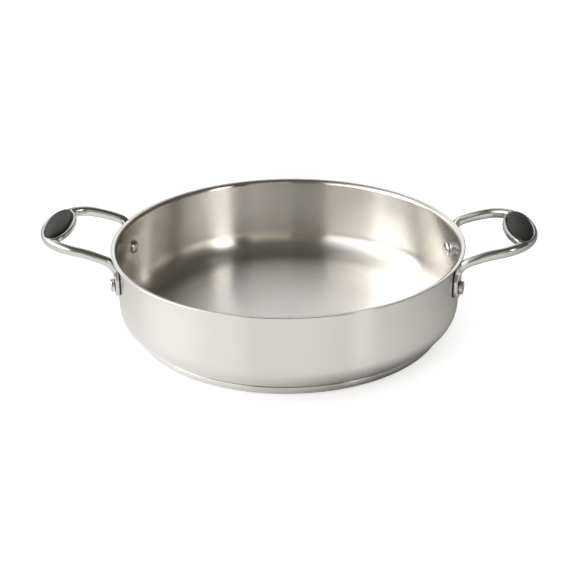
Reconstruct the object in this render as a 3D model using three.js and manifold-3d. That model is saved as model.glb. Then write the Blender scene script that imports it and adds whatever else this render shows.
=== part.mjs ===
// Low round pan with two loop handles. A drawn steel body with a flared pouring lip stands on an
// encapsulated base: an aluminium disc closed in by a steel cap. Each cast handle is held by two
// solid rivets, and its oval ring holds a soft insert that is snapped in like a grommet.
// Millimetres, +Z up. The origin is the middle of the underside of the base.
// The handles lie along X, and +Y is the back of the pan.

import * as THREE from 'three';
import { mergeVertices } from 'three/addons/utils/BufferGeometryUtils.js';
import Module from 'manifold-3d';

const { degToRad, lerp, smoothstep } = THREE.MathUtils;

// Body
const BODY_DIAMETER = 280;
const PAN_HEIGHT = 74.2;
const WALL = 1;
const CORNER_RADIUS = 20;
const LIP_REACH = 4;
const LIP_BEND = 2.4;
const LIP_TURN = degToRad(82);

// Base
const BASE_THICKNESS = 7;
const CAP_INSET = 12;
const CAP_WALL = 0.8;
const CAP_EDGE_RADIUS = 6;
const CAP_GROOVE = 0.4;
const CORE_GAP = 0.3;

// Handle feet and rivets
const RIVET_SPREAD = 76.8;
const RIVET_DROP = 23.4;
const FOOT_WIDTH = 18;
const FOOT_RISE = 7;
const FOOT_THICKNESS = 3.2;
const FOOT_SEAT = 0.3;
const SHANK_DIAMETER = 6;
const SHANK_CLEARANCE = 0.3;
const RIVET_SEAT = 0.3;
const OUTER_HEAD_DIAMETER = 10.6;
const OUTER_HEAD_HEIGHT = 2.6;
const OUTER_HEAD_CHAMFER = 0.7;
const INNER_HEAD_DIAMETER = 11.5;
const INNER_HEAD_HEIGHT = 2.8;

// Handle loop, seen from above: straight arms, then half of an oval
const LOOP_WIDTH = 92.5;
const LOOP_REACH = 62;
const LOOP_ROUND = 37;
const SHOULDER_REACH = 5;
const SHOULDER_SPREAD = 87.2;
const ARM_WIDTH = 7.4;

// Handle loop, seen from the side: the rises count from the top of the lip
const SHOULDER_RISE = 0.6;
const SHOULDER_SLOPE = 0.4;
const SHOULDER_HEIGHT = 7.2;
const ARM_HEIGHT = 8.1;
const TIP_HEIGHT = 6.4;
const NECK_LENGTH = 8;
const NECK_WIDTH = 9.5;
const SHOULDER_LENGTH = 6;

// Sections of the handle: 2 is an oval, higher is squarer, and the shares say where a change ends
const FOOT_SQUARE = 5;
const ARM_SQUARE = 2.5;
const TIP_SQUARE = 3;
const NECK_SHARE = 0.5;
const TIP_SHARE = 0.3;

// Ring and insert
const RING_RISE = 13.5;
const RING_TILT = degToRad(5);
const RING_PROUD = 0.6;
const RING_BORDER = 3.1;
const RING_OUTER_BORDER = 4.2;
const RING_THICKNESS = 4.8;
const RING_CHAMFER = 0.6;
const INSERT_LENGTH = 60;
const INSERT_WIDTH = 20.2;
const INSERT_GAP = 0.3;
const INSERT_SEAT_DEPTH = 2.2;
const INSERT_EDGE = 0.4;
const INSERT_CROWN = 2.4;
const WEB_THICKNESS = 1.4;
const WEB_DEPTH = 2.6;
const FLANGE_GRIP = 1.8;
const FLANGE_THICKNESS = 1.2;

// Fineness of the round forms
const SEGMENTS = 72;
const CORNER_STEPS = 6;
const LIP_STEPS = 4;
const CAP_STEPS = 5;
const CORE_STEPS = 3;
const SECTION_POINTS = 14;
const OVAL_POINTS = 32;
const RIVET_SEGMENTS = 16;
const DOME_STEPS = 4;
const FOOT_STEPS = 5;
const BEND_STEPS = 6;
const ARM_STEPS = 3;
const LOOP_STEPS = 8;
const CROWN_STEPS = 4;

// Sizes that follow from the ones above
const bodyRadius = BODY_DIAMETER / 2;
const floorRadius = bodyRadius - CORNER_RADIUS;
const cornerHeight = BASE_THICKNESS + CORNER_RADIUS;
const lipFlat = (LIP_REACH - LIP_BEND * (1 - Math.cos(LIP_TURN))) / Math.sin(LIP_TURN);
const lipRise = (LIP_BEND + WALL) * Math.sin(LIP_TURN) + lipFlat * Math.cos(LIP_TURN);
const lipHeight = PAN_HEIGHT - lipRise;
const rivetAngle = Math.asin(RIVET_SPREAD / 2 / bodyRadius);
const rivetHeight = PAN_HEIGHT - RIVET_DROP;
const footRadius = bodyRadius + FOOT_SEAT + FOOT_THICKNESS;
const tipReach = bodyRadius + LOOP_REACH;
const loopStart = tipReach - LOOP_ROUND;
const insertReach = tipReach - RING_OUTER_BORDER - INSERT_WIDTH / 2;
const ringHeight = PAN_HEIGHT + RING_RISE;

const wasm = await Module();
wasm.setup();

// Solid of a closed geometry, with its shared corners merged and its empty triangles dropped.
function solidOf(geometry) {
  const bare = geometry.clone();
  bare.deleteAttribute('normal');
  bare.deleteAttribute('uv');
  const merged = mergeVertices(bare, 1e-4);
  const index = merged.index.array;
  const triangles = [];
  for (let i = 0; i < index.length; i += 3) {
    const [a, b, c] = index.slice(i, i + 3);
    if (a !== b && b !== c && c !== a) triangles.push(a, b, c);
  }
  return new wasm.Manifold(new wasm.Mesh({
    numProp: 3,
    vertProperties: merged.attributes.position.array,
    triVerts: new Uint32Array(triangles),
  }));
}

// Geometry of a solid, ready for a mesh.
function geometryOf(solid) {
  const { vertProperties, triVerts } = solid.getMesh();
  const geometry = new THREE.BufferGeometry();
  geometry.setAttribute('position', new THREE.BufferAttribute(vertProperties, 3));
  geometry.setIndex(new THREE.BufferAttribute(triVerts, 1));
  geometry.computeVertexNormals();
  return geometry;
}

// Points of an arc in a profile, from one angle to another about a centre.
function arc(x, y, radius, from, to, steps) {
  const points = [];
  for (let i = 0; i <= steps; i += 1) {
    const angle = lerp(from, to, i / steps);
    points.push(new THREE.Vector2(x + radius * Math.cos(angle), y + radius * Math.sin(angle)));
  }
  return points;
}

// Solid of revolution about Z. The profile runs counterclockwise from the axis back to the axis.
function revolve(profile) {
  return solidOf(new THREE.LatheGeometry(profile, SEGMENTS).rotateX(Math.PI / 2));
}

// Closed solid through a run of rings with the same number of points, with a fan on each end.
function loft(rings) {
  const around = rings[0].length;
  const last = rings.length - 1;
  const middle = (ring) => ring.reduce((sum, p) => sum.add(p), new THREE.Vector3()).divideScalar(around);
  const points = [...rings.flat(), middle(rings[0]), middle(rings[last])];
  const startPoint = points.length - 2;
  const endPoint = points.length - 1;
  const index = [];
  for (let k = 0; k < around; k += 1) {
    const next = (k + 1) % around;
    for (let i = 0; i < last; i += 1) {
      const here = i * around;
      const there = here + around;
      index.push(here + k, here + next, there + next, here + k, there + next, there + k);
    }
    index.push(startPoint, next, k, endPoint, last * around + k, last * around + next);
  }
  const geometry = new THREE.BufferGeometry().setFromPoints(points);
  geometry.setIndex(index);
  return solidOf(geometry);
}

// Solid of oval levels stacked along Z, each with half a width along X and half a length along Y.
function ovalStack(levels) {
  return loft(levels.map(([halfWidth, halfLength, height]) => {
    const oval = new THREE.EllipseCurve(0, 0, halfWidth, halfLength);
    const points = oval.getPoints(OVAL_POINTS).slice(0, OVAL_POINTS);
    return points.map((p) => new THREE.Vector3(p.x, p.y, height));
  }));
}

// One side of the lip from the wall to its edge: a bend with a radius, then a flat flange.
function lipSide(radius) {
  const end = Math.PI - LIP_TURN;
  const bend = arc(bodyRadius + LIP_BEND, lipHeight, radius, Math.PI, end, LIP_STEPS);
  const flat = new THREE.Vector2(Math.sin(LIP_TURN), Math.cos(LIP_TURN)).multiplyScalar(lipFlat);
  return [...bend, bend[LIP_STEPS].clone().add(flat)];
}

// Direction out of the pan's wall at an angle about its axis.
function outward(angle) {
  return new THREE.Vector3(Math.cos(angle), Math.sin(angle), 0);
}

// Matrix that lays a piece made along Y on a rivet's axis, with its zero on the wall's outer side.
function rivetPlace(angle) {
  const direction = outward(angle);
  const turn = new THREE.Quaternion().setFromUnitVectors(new THREE.Vector3(0, 1, 0), direction);
  const point = direction.clone().multiplyScalar(bodyRadius).setZ(rivetHeight);
  return new THREE.Matrix4().compose(point, turn, new THREE.Vector3(1, 1, 1));
}

// Cutter for a rivet's hole through the wall and the foot.
function rivetHole(angle) {
  const radius = SHANK_DIAMETER / 2 + SHANK_CLEARANCE;
  const length = 4 * (WALL + FOOT_SEAT + FOOT_THICKNESS);
  const hole = new THREE.CylinderGeometry(radius, radius, length, RIVET_SEGMENTS);
  return solidOf(hole.applyMatrix4(rivetPlace(angle)));
}

// Drawn shell: flat floor, rounded corner, upright wall and a lip that is bent out.
function bodySolid() {
  const insideCorner = CORNER_RADIUS - WALL;
  const profile = [
    new THREE.Vector2(0, BASE_THICKNESS),
    ...arc(floorRadius, cornerHeight, CORNER_RADIUS, -Math.PI / 2, 0, CORNER_STEPS),
    ...lipSide(LIP_BEND),
    ...lipSide(LIP_BEND + WALL).reverse(),
    ...arc(floorRadius, cornerHeight, insideCorner, 0, -Math.PI / 2, CORNER_STEPS),
    new THREE.Vector2(0, BASE_THICKNESS + WALL),
  ];
  let solid = revolve(profile);
  for (const side of [0, Math.PI]) {
    solid = solid.subtract(rivetHole(side + rivetAngle)).subtract(rivetHole(side - rivetAngle));
  }
  return solid;
}

// Height of the outer side of the body's rounded corner at a distance from the axis.
function cornerUnderside(radius) {
  const across = Math.max(radius - floorRadius, 0);
  return cornerHeight - Math.sqrt(CORNER_RADIUS ** 2 - across ** 2);
}

// Steel dish under the body, whose upper edge stops short of the corner and leaves a groove.
function capSolid() {
  const radius = bodyRadius - CAP_INSET;
  const inside = radius - CAP_WALL;
  const edge = Math.min(CAP_EDGE_RADIUS, cornerUnderside(inside) - CAP_GROOVE);
  return revolve([
    new THREE.Vector2(0, 0),
    ...arc(radius - edge, edge, edge, -Math.PI / 2, 0, CAP_STEPS),
    new THREE.Vector2(radius, cornerUnderside(radius) - CAP_GROOVE),
    new THREE.Vector2(inside, cornerUnderside(inside) - CAP_GROOVE),
    ...arc(radius - edge, edge, edge - CAP_WALL, 0, -Math.PI / 2, CAP_STEPS),
    new THREE.Vector2(0, CAP_WALL),
  ]);
}

// Aluminium disc that fills the room between the cap and the body's floor and corner.
function coreSolid() {
  const radius = bodyRadius - CAP_INSET - CAP_WALL - CORE_GAP;
  const bottom = CAP_WALL + CORE_GAP;
  const edge = Math.min(CAP_EDGE_RADIUS, cornerUnderside(radius) - CORE_GAP) - bottom;
  const cornerEnd = -Math.acos((radius - floorRadius) / (CORNER_RADIUS + CORE_GAP));
  return revolve([
    new THREE.Vector2(0, bottom),
    ...arc(radius - edge, bottom + edge, edge, -Math.PI / 2, 0, CORE_STEPS),
    ...arc(floorRadius, cornerHeight, CORNER_RADIUS + CORE_GAP, cornerEnd, -Math.PI / 2, CORE_STEPS),
    new THREE.Vector2(0, BASE_THICKNESS - CORE_GAP),
  ]);
}

// Height of the loop's middle line over the arms and round the oval: a cubic between two slopes.
function loopHeight(x) {
  const from = bodyRadius + SHOULDER_REACH;
  const to = tipReach - ARM_WIDTH / 2;
  const length = to - from;
  const u = (x - from) / length;
  const start = PAN_HEIGHT + SHOULDER_RISE;
  const ringTop = ringHeight - (to - insertReach) * Math.tan(RING_TILT);
  const end = ringTop - RING_PROUD - TIP_HEIGHT / 2;
  return start * (1 + 2 * u) * (1 - u) ** 2 + end * u * u * (3 - 2 * u)
    + length * (SHOULDER_SLOPE * u * (1 - u) ** 2 + Math.tan(RING_TILT) * u * u * (1 - u));
}

// Stations of one arm, from the foot's round lower end over the neck to the loop's outer end.
// Each has its middle, the direction across it seen from above, its width, height and squareness.
function armStations() {
  const stations = [];
  const add = (middle, across, width, height, square) => {
    stations.push({ middle, across, width, height, square });
  };
  const footStock = FOOT_THICKNESS / 2;
  const footHeight = FOOT_SEAT + FOOT_THICKNESS + footStock;
  const footMiddle = outward(rivetAngle).multiplyScalar(footRadius - footHeight / 2);
  const footAcross = rivetAngle + Math.PI / 2;
  for (let i = 0; i <= FOOT_STEPS; i += 1) {
    const angle = (i + 1) / (FOOT_STEPS + 1) * Math.PI / 2;
    const middle = footMiddle.clone().setZ(rivetHeight - FOOT_WIDTH / 2 * Math.cos(angle));
    add(middle, footAcross, FOOT_WIDTH * Math.sin(angle), footHeight, FOOT_SQUARE);
  }

  const neckStart = footMiddle.clone().setZ(rivetHeight + FOOT_RISE);
  const shoulderX = bodyRadius + SHOULDER_REACH;
  const shoulder = new THREE.Vector3(shoulderX, SHOULDER_SPREAD / 2, PAN_HEIGHT + SHOULDER_RISE);
  const shoulderTangent = new THREE.Vector3(1, 0, SHOULDER_SLOPE);
  const bend = new THREE.CubicBezierCurve3(
    neckStart,
    neckStart.clone().setZ(neckStart.z + NECK_LENGTH),
    shoulder.clone().addScaledVector(shoulderTangent, -SHOULDER_LENGTH),
    shoulder,
  );
  for (let i = 0; i <= BEND_STEPS; i += 1) {
    const t = i / BEND_STEPS;
    const toNeck = smoothstep(t, 0, NECK_SHARE);
    const toArm = smoothstep(t, NECK_SHARE, 1);
    const width = lerp(lerp(FOOT_WIDTH, NECK_WIDTH, toNeck), ARM_WIDTH, toArm);
    add(bend.getPoint(t), lerp(footAcross, Math.PI / 2, t), width,
      lerp(footHeight, SHOULDER_HEIGHT, t), lerp(FOOT_SQUARE, ARM_SQUARE, t));
  }

  const halfWidth = (LOOP_WIDTH - ARM_WIDTH) / 2;
  for (let i = 1; i < ARM_STEPS; i += 1) {
    const t = i / ARM_STEPS;
    const x = lerp(shoulderX, loopStart, t);
    const y = lerp(SHOULDER_SPREAD / 2, halfWidth, smoothstep(t, 0, 1));
    add(new THREE.Vector3(x, y, loopHeight(x)), Math.PI / 2, ARM_WIDTH,
      lerp(SHOULDER_HEIGHT, ARM_HEIGHT, t), ARM_SQUARE);
  }

  const half = new THREE.EllipseCurve(loopStart, 0, LOOP_ROUND - ARM_WIDTH / 2, halfWidth);
  for (let i = 0; i <= LOOP_STEPS; i += 1) {
    const t = i / LOOP_STEPS;
    const angle = (1 - t) * Math.PI / 2;
    const point = half.getPoint(angle / (2 * Math.PI));
    const across = Math.atan2(point.y / half.yRadius ** 2, (point.x - loopStart) / half.xRadius ** 2);
    add(new THREE.Vector3(point.x, point.y, loopHeight(point.x)), across, ARM_WIDTH,
      lerp(ARM_HEIGHT, TIP_HEIGHT, smoothstep(t, TIP_SHARE, 1)), lerp(ARM_SQUARE, TIP_SQUARE, t));
  }
  return stations;
}

// Rounded section of the handle across one station, square to the run of the middle line.
function sectionRing(station, before, after) {
  const run = after.middle.clone().sub(before.middle).normalize();
  const across = outward(station.across);
  const up = run.clone().cross(across).normalize();
  const side = up.clone().cross(run);
  const points = [];
  for (let k = 0; k < SECTION_POINTS; k += 1) {
    const angle = 2 * Math.PI * (k + 0.5) / SECTION_POINTS;
    const bulge = (value) => Math.sign(value) * Math.abs(value) ** (2 / station.square);
    const a = bulge(Math.cos(angle)) * station.width / 2;
    const b = bulge(Math.sin(angle)) * station.height / 2;
    points.push(station.middle.clone().addScaledVector(side, a).addScaledVector(up, b));
  }
  return points;
}

// Swept bow of a handle: one arm's rings, then the same rings mirrored to the other side.
function bowSolid() {
  const stations = armStations();
  const last = stations.length - 1;
  const mirrored = (p) => new THREE.Vector3(p.x, -p.y, p.z);
  const rings = stations.map((station, i) => {
    const before = stations[Math.max(i - 1, 0)];
    const after = i < last ? stations[i + 1] : { middle: mirrored(before.middle) };
    return sectionRing(station, before, after);
  });
  const otherSide = rings.slice(0, last).reverse().map((ring) => ring.map(mirrored));
  return loft([...rings, ...otherSide]);
}

// Place of the ring and its insert: zero in the middle of the ring's flat top, tilted down outwards.
function ringPlace() {
  const turn = new THREE.Quaternion().setFromAxisAngle(new THREE.Vector3(0, 1, 0), RING_TILT);
  const point = new THREE.Vector3(insertReach, 0, ringHeight);
  return new THREE.Matrix4().compose(point, turn, new THREE.Vector3(1, 1, 1));
}

// Room that the pan's wall and lip need, with the foot's seat, as a cutter for the handle.
function wallRoom() {
  const lip = lipSide(LIP_BEND - FOOT_SEAT);
  const reach = bodyRadius + LIP_REACH + FOOT_SEAT;
  return revolve([
    new THREE.Vector2(0, cornerHeight),
    new THREE.Vector2(bodyRadius + FOOT_SEAT, cornerHeight),
    ...lip,
    new THREE.Vector2(reach, lip.at(-1).y),
    new THREE.Vector2(reach, PAN_HEIGHT + FOOT_SEAT),
    new THREE.Vector2(0, PAN_HEIGHT + FOOT_SEAT),
  ]);
}

// Cast handle: the bow with its feet, the oval ring, the stepped opening for the insert,
// backs of the feet cut to the wall, and the rivet holes.
function handleSolid() {
  const halfWidth = INSERT_WIDTH / 2;
  const halfLength = INSERT_LENGTH / 2;
  const grown = (amount, height) => [halfWidth + amount, halfLength + amount, height];
  const depth = 4 * RING_THICKNESS;
  const webTop = -INSERT_SEAT_DEPTH;
  const webBottom = webTop - WEB_THICKNESS;
  const ring = ovalStack([
    grown(RING_BORDER - RING_CHAMFER, -RING_THICKNESS),
    grown(RING_BORDER, RING_CHAMFER - RING_THICKNESS),
    grown(RING_BORDER, -RING_CHAMFER),
    grown(RING_BORDER - RING_CHAMFER, 0),
  ]);
  const opening = ovalStack([
    grown(FLANGE_GRIP - WEB_DEPTH, -depth),
    grown(FLANGE_GRIP - WEB_DEPTH, webBottom),
    grown(-WEB_DEPTH, webBottom),
    grown(-WEB_DEPTH, webTop),
    grown(INSERT_GAP, webTop),
    grown(INSERT_GAP, depth),
  ]);
  const place = ringPlace().toArray();
  return bowSolid()
    .add(ring.transform(place))
    .subtract(opening.transform(place))
    .subtract(wallRoom())
    .subtract(rivetHole(rivetAngle))
    .subtract(rivetHole(-rivetAngle));
}

// Soft insert: a crowned pad on the ring's web, a waist through it and a flange that grips below.
function insertSolid() {
  const halfWidth = INSERT_WIDTH / 2;
  const halfLength = INSERT_LENGTH / 2;
  const webTop = -INSERT_SEAT_DEPTH;
  const webBottom = webTop - WEB_THICKNESS;
  const waist = -WEB_DEPTH - INSERT_GAP;
  const grown = (amount, height) => [halfWidth + amount, halfLength + amount, height];
  const flangeTop = webBottom - INSERT_GAP;
  const flangeBottom = flangeTop - FLANGE_THICKNESS;
  const levels = [
    grown(waist + FLANGE_GRIP - FLANGE_THICKNESS / 2, flangeBottom),
    grown(waist + FLANGE_GRIP, flangeBottom + FLANGE_THICKNESS / 2),
    grown(waist + FLANGE_GRIP, flangeTop),
    grown(waist, flangeTop),
    grown(waist, webTop + INSERT_GAP),
    grown(0, webTop + INSERT_GAP),
  ];
  for (let i = 0; i < CROWN_STEPS; i += 1) {
    const angle = i / CROWN_STEPS * Math.PI / 2;
    const share = Math.cos(angle);
    levels.push([halfWidth * share, halfLength * share, INSERT_EDGE + INSERT_CROWN * Math.sin(angle)]);
  }
  return ovalStack(levels).transform(ringPlace().toArray());
}

// Solid rivet about Y, zero on the wall's outer side: domed head inside the pan, flat head outside.
function rivetSolid() {
  const shank = SHANK_DIAMETER / 2;
  const innerHead = INNER_HEAD_DIAMETER / 2;
  const outerHead = OUTER_HEAD_DIAMETER / 2;
  const facetRadius = (bodyRadius - WALL) * Math.cos(Math.PI / SEGMENTS);
  const innerSeat = Math.sqrt(facetRadius ** 2 - innerHead ** 2) - RIVET_SEAT - bodyRadius;
  const outerSeat = footRadius - bodyRadius + RIVET_SEAT;
  const outerEnd = outerSeat + OUTER_HEAD_HEIGHT;
  const dome = [];
  for (let i = 0; i <= DOME_STEPS; i += 1) {
    const angle = i / DOME_STEPS * Math.PI / 2;
    const height = innerSeat - INNER_HEAD_HEIGHT * Math.cos(angle);
    dome.push(new THREE.Vector2(innerHead * Math.sin(angle), height));
  }
  return solidOf(new THREE.LatheGeometry([
    ...dome,
    new THREE.Vector2(shank, innerSeat),
    new THREE.Vector2(shank, outerSeat),
    new THREE.Vector2(outerHead, outerSeat),
    new THREE.Vector2(outerHead, outerEnd - OUTER_HEAD_CHAMFER),
    new THREE.Vector2(outerHead - OUTER_HEAD_CHAMFER, outerEnd),
    new THREE.Vector2(0, outerEnd),
  ], RIVET_SEGMENTS));
}

// Finishes
const satinSteel = { color: 0xc9c7c2, metalness: 1, roughness: 0.35 };
const polishedSteel = { color: 0xd2d1cd, metalness: 1, roughness: 0.12 };
const aluminium = { color: 0xb9bbbd, metalness: 1, roughness: 0.5 };
const softGrip = { color: 0x2a2b2c, metalness: 0, roughness: 0.55 };

// Named mesh with a material of its own.
function piece(name, geometry, finish) {
  const mesh = new THREE.Mesh(geometry, new THREE.MeshStandardMaterial(finish));
  mesh.name = name;
  return mesh;
}

const pan = new THREE.Group();
pan.add(
  piece('pan_body', geometryOf(bodySolid()), satinSteel),
  piece('base_core', geometryOf(coreSolid()), aluminium),
  piece('base_cap', geometryOf(capSolid()), satinSteel),
);

// The two handles are alike: the left one is turned half way round the pan's axis.
const handleGeometry = geometryOf(handleSolid());
const insertGeometry = geometryOf(insertSolid());
const rivetGeometry = geometryOf(rivetSolid());
for (const [side, turn, plusYEnd, minusYEnd] of [
  ['right', 0, 'rear', 'front'],
  ['left', Math.PI, 'front', 'rear'],
]) {
  const handle = new THREE.Group();
  handle.rotation.z = turn;
  handle.add(
    piece(`handle_${side}`, handleGeometry, polishedSteel),
    piece(`grip_insert_${side}`, insertGeometry, softGrip),
  );
  for (const [end, angle] of [[plusYEnd, rivetAngle], [minusYEnd, -rivetAngle]]) {
    const rivet = piece(`rivet_${side}_${end}`, rivetGeometry, polishedSteel);
    rivet.applyMatrix4(rivetPlace(angle));
    handle.add(rivet);
  }
  pan.add(handle);
}

export default pan;
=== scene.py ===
"""Low steel pan with two loop handles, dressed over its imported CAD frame.

The shell and the base cap are turned profiles, the handles are cast loops with an oval ring, and
each ring holds a soft insert. Sizes are metres in the CAD frame: the handles lie along X, +Y is the
back of the pan and +Z is up.
"""

import logging
import math
from abc import ABC, abstractmethod
from contextlib import contextmanager
from dataclasses import dataclass, field
from enum import Enum
from typing import Iterator, Self, Sequence

import bmesh
import bpy
from mathutils import Matrix, Vector


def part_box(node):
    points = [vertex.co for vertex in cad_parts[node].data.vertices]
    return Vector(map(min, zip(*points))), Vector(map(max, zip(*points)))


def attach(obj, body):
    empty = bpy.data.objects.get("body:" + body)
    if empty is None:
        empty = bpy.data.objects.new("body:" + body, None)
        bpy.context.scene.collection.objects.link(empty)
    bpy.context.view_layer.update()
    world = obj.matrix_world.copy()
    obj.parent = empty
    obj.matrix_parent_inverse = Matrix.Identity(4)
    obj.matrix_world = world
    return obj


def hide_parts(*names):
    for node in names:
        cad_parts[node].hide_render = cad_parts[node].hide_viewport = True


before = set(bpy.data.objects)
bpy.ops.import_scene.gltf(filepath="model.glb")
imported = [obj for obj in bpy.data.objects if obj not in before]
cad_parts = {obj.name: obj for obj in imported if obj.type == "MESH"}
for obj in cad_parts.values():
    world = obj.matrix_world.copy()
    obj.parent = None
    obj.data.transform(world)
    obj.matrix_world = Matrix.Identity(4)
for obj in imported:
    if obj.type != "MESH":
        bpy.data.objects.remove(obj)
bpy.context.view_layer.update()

log = logging.getLogger("pan")

MM = 0.001
QUARTER = math.pi / 2
ROOT_BODY = "root"
WHITE = (1, 1, 1, 1)

# A cutter reaches this many times the thickness that it goes through
CUTTER_REACH = 4

# Values between which most of a noise texture lies
NOISE_RANGE = (0.3, 0.7)

Pair = tuple[float, float]
Colour = tuple[float, float, float]
Stops = Sequence[tuple[float, Colour]]
Profile = list[Pair]
Ring = list[Vector]
Object = bpy.types.Object
Material = bpy.types.Material
Node = bpy.types.Node
Socket = bpy.types.NodeSocket


class Slot(Enum):
    """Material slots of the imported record."""

    SATIN_STEEL = "satin_steel"
    POLISHED_STEEL = "polished_steel"
    SOFT_INSERT = "soft_insert"


class Side(Enum):
    """Sides of the pan, each with the turn about its axis that takes the right side there."""

    RIGHT = 0.0
    LEFT = math.pi


class Cut(Enum):
    """Ways in which one solid changes another."""

    ADD = "UNION"
    REMOVE = "DIFFERENCE"


def deselect() -> None:
    """Leave edit mode and deselect every object."""
    if bpy.context.object and bpy.context.object.mode != "OBJECT":
        bpy.ops.object.mode_set(mode="OBJECT")
    bpy.ops.object.select_all(action="DESELECT")


def select(piece: Object) -> None:
    """Make one object the only selected one and the active one.

    Args:
        piece: The object.
    """
    deselect()
    piece.select_set(True)
    bpy.context.view_layer.objects.active = piece


@contextmanager
def editing(piece: Object) -> Iterator[None]:
    """Edit one object's mesh by its vertices, and come back to object mode afterwards.

    Args:
        piece: The object.

    Returns:
        A context in which the object is in edit mode.
    """
    select(piece)
    bpy.ops.object.mode_set(mode="EDIT")
    bpy.ops.mesh.select_mode(type="VERT")
    yield
    bpy.ops.object.mode_set(mode="OBJECT")


def close_seams(gap: float = 1e-6) -> None:
    """Merge the doubled points of the mesh in edit mode and turn its faces outwards.

    Args:
        gap: Distance up to which points are the same.
    """
    bpy.ops.mesh.select_all(action="SELECT")
    bpy.ops.mesh.remove_doubles(threshold=gap)
    bpy.ops.mesh.normals_make_consistent(inside=False)


def arc(x: float, y: float, radius: float, start: float, end: float, steps: int) -> Profile:
    """Points of an arc in a profile.

    Args:
        x: Middle of the arc across.
        y: Middle of the arc upwards.
        radius: Radius of the arc.
        start: Angle of its first point, in radians.
        end: Angle of its last point, in radians.
        steps: Number of straight stretches.

    Returns:
        The points, both ends included.
    """
    angles = [start + (end - start) * i / steps for i in range(steps + 1)]
    return [(x + radius * math.cos(a), y + radius * math.sin(a)) for a in angles]


def spun(name: str, profile: Profile, steps: int) -> Object:
    """Turn a profile round the Z axis, as on a lathe.

    Args:
        name: Name of the new object.
        profile: Distances from the axis and heights, from the axis back to the axis.
        steps: Number of steps round the axis.

    Returns:
        The turned solid, at the origin.
    """
    deselect()
    bpy.ops.mesh.primitive_plane_add(size=MM)
    piece = bpy.context.object
    piece.name = name
    with editing(piece):
        bpy.ops.mesh.select_all(action="SELECT")
        bpy.ops.mesh.merge(type="CENTER")
        (x, z), *rest = profile
        bpy.ops.transform.translate(value=(x, 0, z))
        for next_x, next_z in rest:
            step = {"value": (next_x - x, 0, next_z - z)}
            bpy.ops.mesh.extrude_vertices_move(TRANSFORM_OT_translate=step)
            x, z = next_x, next_z
        bpy.ops.mesh.select_all(action="SELECT")
        bpy.ops.mesh.spin(steps=steps, angle=2 * math.pi, center=(0, 0, 0), axis=(0, 0, 1))
        close_seams()
    return piece


def lofted(name: str, rings: Sequence[Ring]) -> Object:
    """Extrude one face through a run of rings with the same number of points.

    Args:
        name: Name of the new object.
        rings: Points of each ring, in the same order all along.

    Returns:
        The closed solid, at the origin.
    """
    deselect()
    bpy.ops.mesh.primitive_circle_add(vertices=len(rings[0]), radius=MM, fill_type="NGON")
    piece = bpy.context.object
    piece.name = name
    with editing(piece):
        bpy.ops.mesh.select_all(action="SELECT")
        mesh = bmesh.from_edit_mesh(piece.data)
        for vertex, point in zip(mesh.verts, rings[0]):
            vertex.co = point
        for before, ring in zip(rings, rings[1:]):
            bpy.ops.mesh.extrude_region_move()
            mesh = bmesh.from_edit_mesh(piece.data)
            for vertex in [v for v in mesh.verts if v.select]:
                nearest = min(range(len(ring)), key=lambda k: (before[k] - vertex.co).length_squared)
                vertex.co = ring[nearest]
            bmesh.update_edit_mesh(piece.data)
        close_seams()
    return piece


def oval(half_x: float, half_y: float, height: float, count: int) -> Ring:
    """Level oval ring about the Z axis."""
    turns = [2 * math.pi * k / count for k in range(count)]
    return [Vector((half_x * math.cos(a), half_y * math.sin(a), height)) for a in turns]


def apply_modifier(piece: Object, kind: str, **settings: object) -> None:
    """Add a modifier, set it and apply it.

    Args:
        piece: Object that takes the modifier.
        kind: Blender's name of the kind of modifier.
        settings: Values of the modifier's own properties.
    """
    select(piece)
    bpy.ops.object.modifier_add(type=kind)
    modifier = piece.modifiers[-1]
    for key, value in settings.items():
        setattr(modifier, key, value)
    bpy.ops.object.modifier_apply(modifier=modifier.name)


def cut(piece: Object, tool: Object, how: Cut) -> None:
    """Add a tool solid to a piece or remove it from the piece, and delete the tool.

    Args:
        piece: Object that is changed.
        tool: Solid that is added or removed.
        how: Whether it is added or removed.
    """
    apply_modifier(piece, "BOOLEAN", object=tool, operation=how.value, solver="EXACT")
    select(tool)
    bpy.ops.object.delete()


def moved(piece: Object, place: Matrix) -> Object:
    """Put a piece in its place, with the place applied to its mesh.

    Args:
        piece: Object that is moved.
        place: Where it goes, from where it is.

    Returns:
        The same object.
    """
    select(piece)
    piece.matrix_world = place @ piece.matrix_world
    bpy.ops.object.transform_apply(location=True, rotation=True, scale=True)
    return piece


def copied(piece: Object, name: str) -> Object:
    """Copy a piece, with a mesh of its own.

    Args:
        piece: Object that is copied.
        name: Name of the copy.

    Returns:
        The copy.
    """
    select(piece)
    bpy.ops.object.duplicate(linked=False)
    copy = bpy.context.object
    copy.name = name
    return copy


def smooth(piece: Object, angle: float = math.radians(35)) -> None:
    """Shade a piece smooth, with crisp edges above an angle."""
    select(piece)
    bpy.ops.object.shade_smooth_by_angle(angle=angle)


def settle(piece: Object, node: str, finish: Material) -> None:
    """Make a finished piece stand for its CAD node.

    Args:
        piece: The finished piece, in its place.
        node: CAD node that it stands for.
        finish: Material of the whole piece.
    """
    piece.data.materials.clear()
    piece.data.materials.append(finish)
    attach(piece, ROOT_BODY)
    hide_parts(node)
    log.info("%s stands for %s, %d faces", piece.name, node, len(piece.data.polygons))


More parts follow.
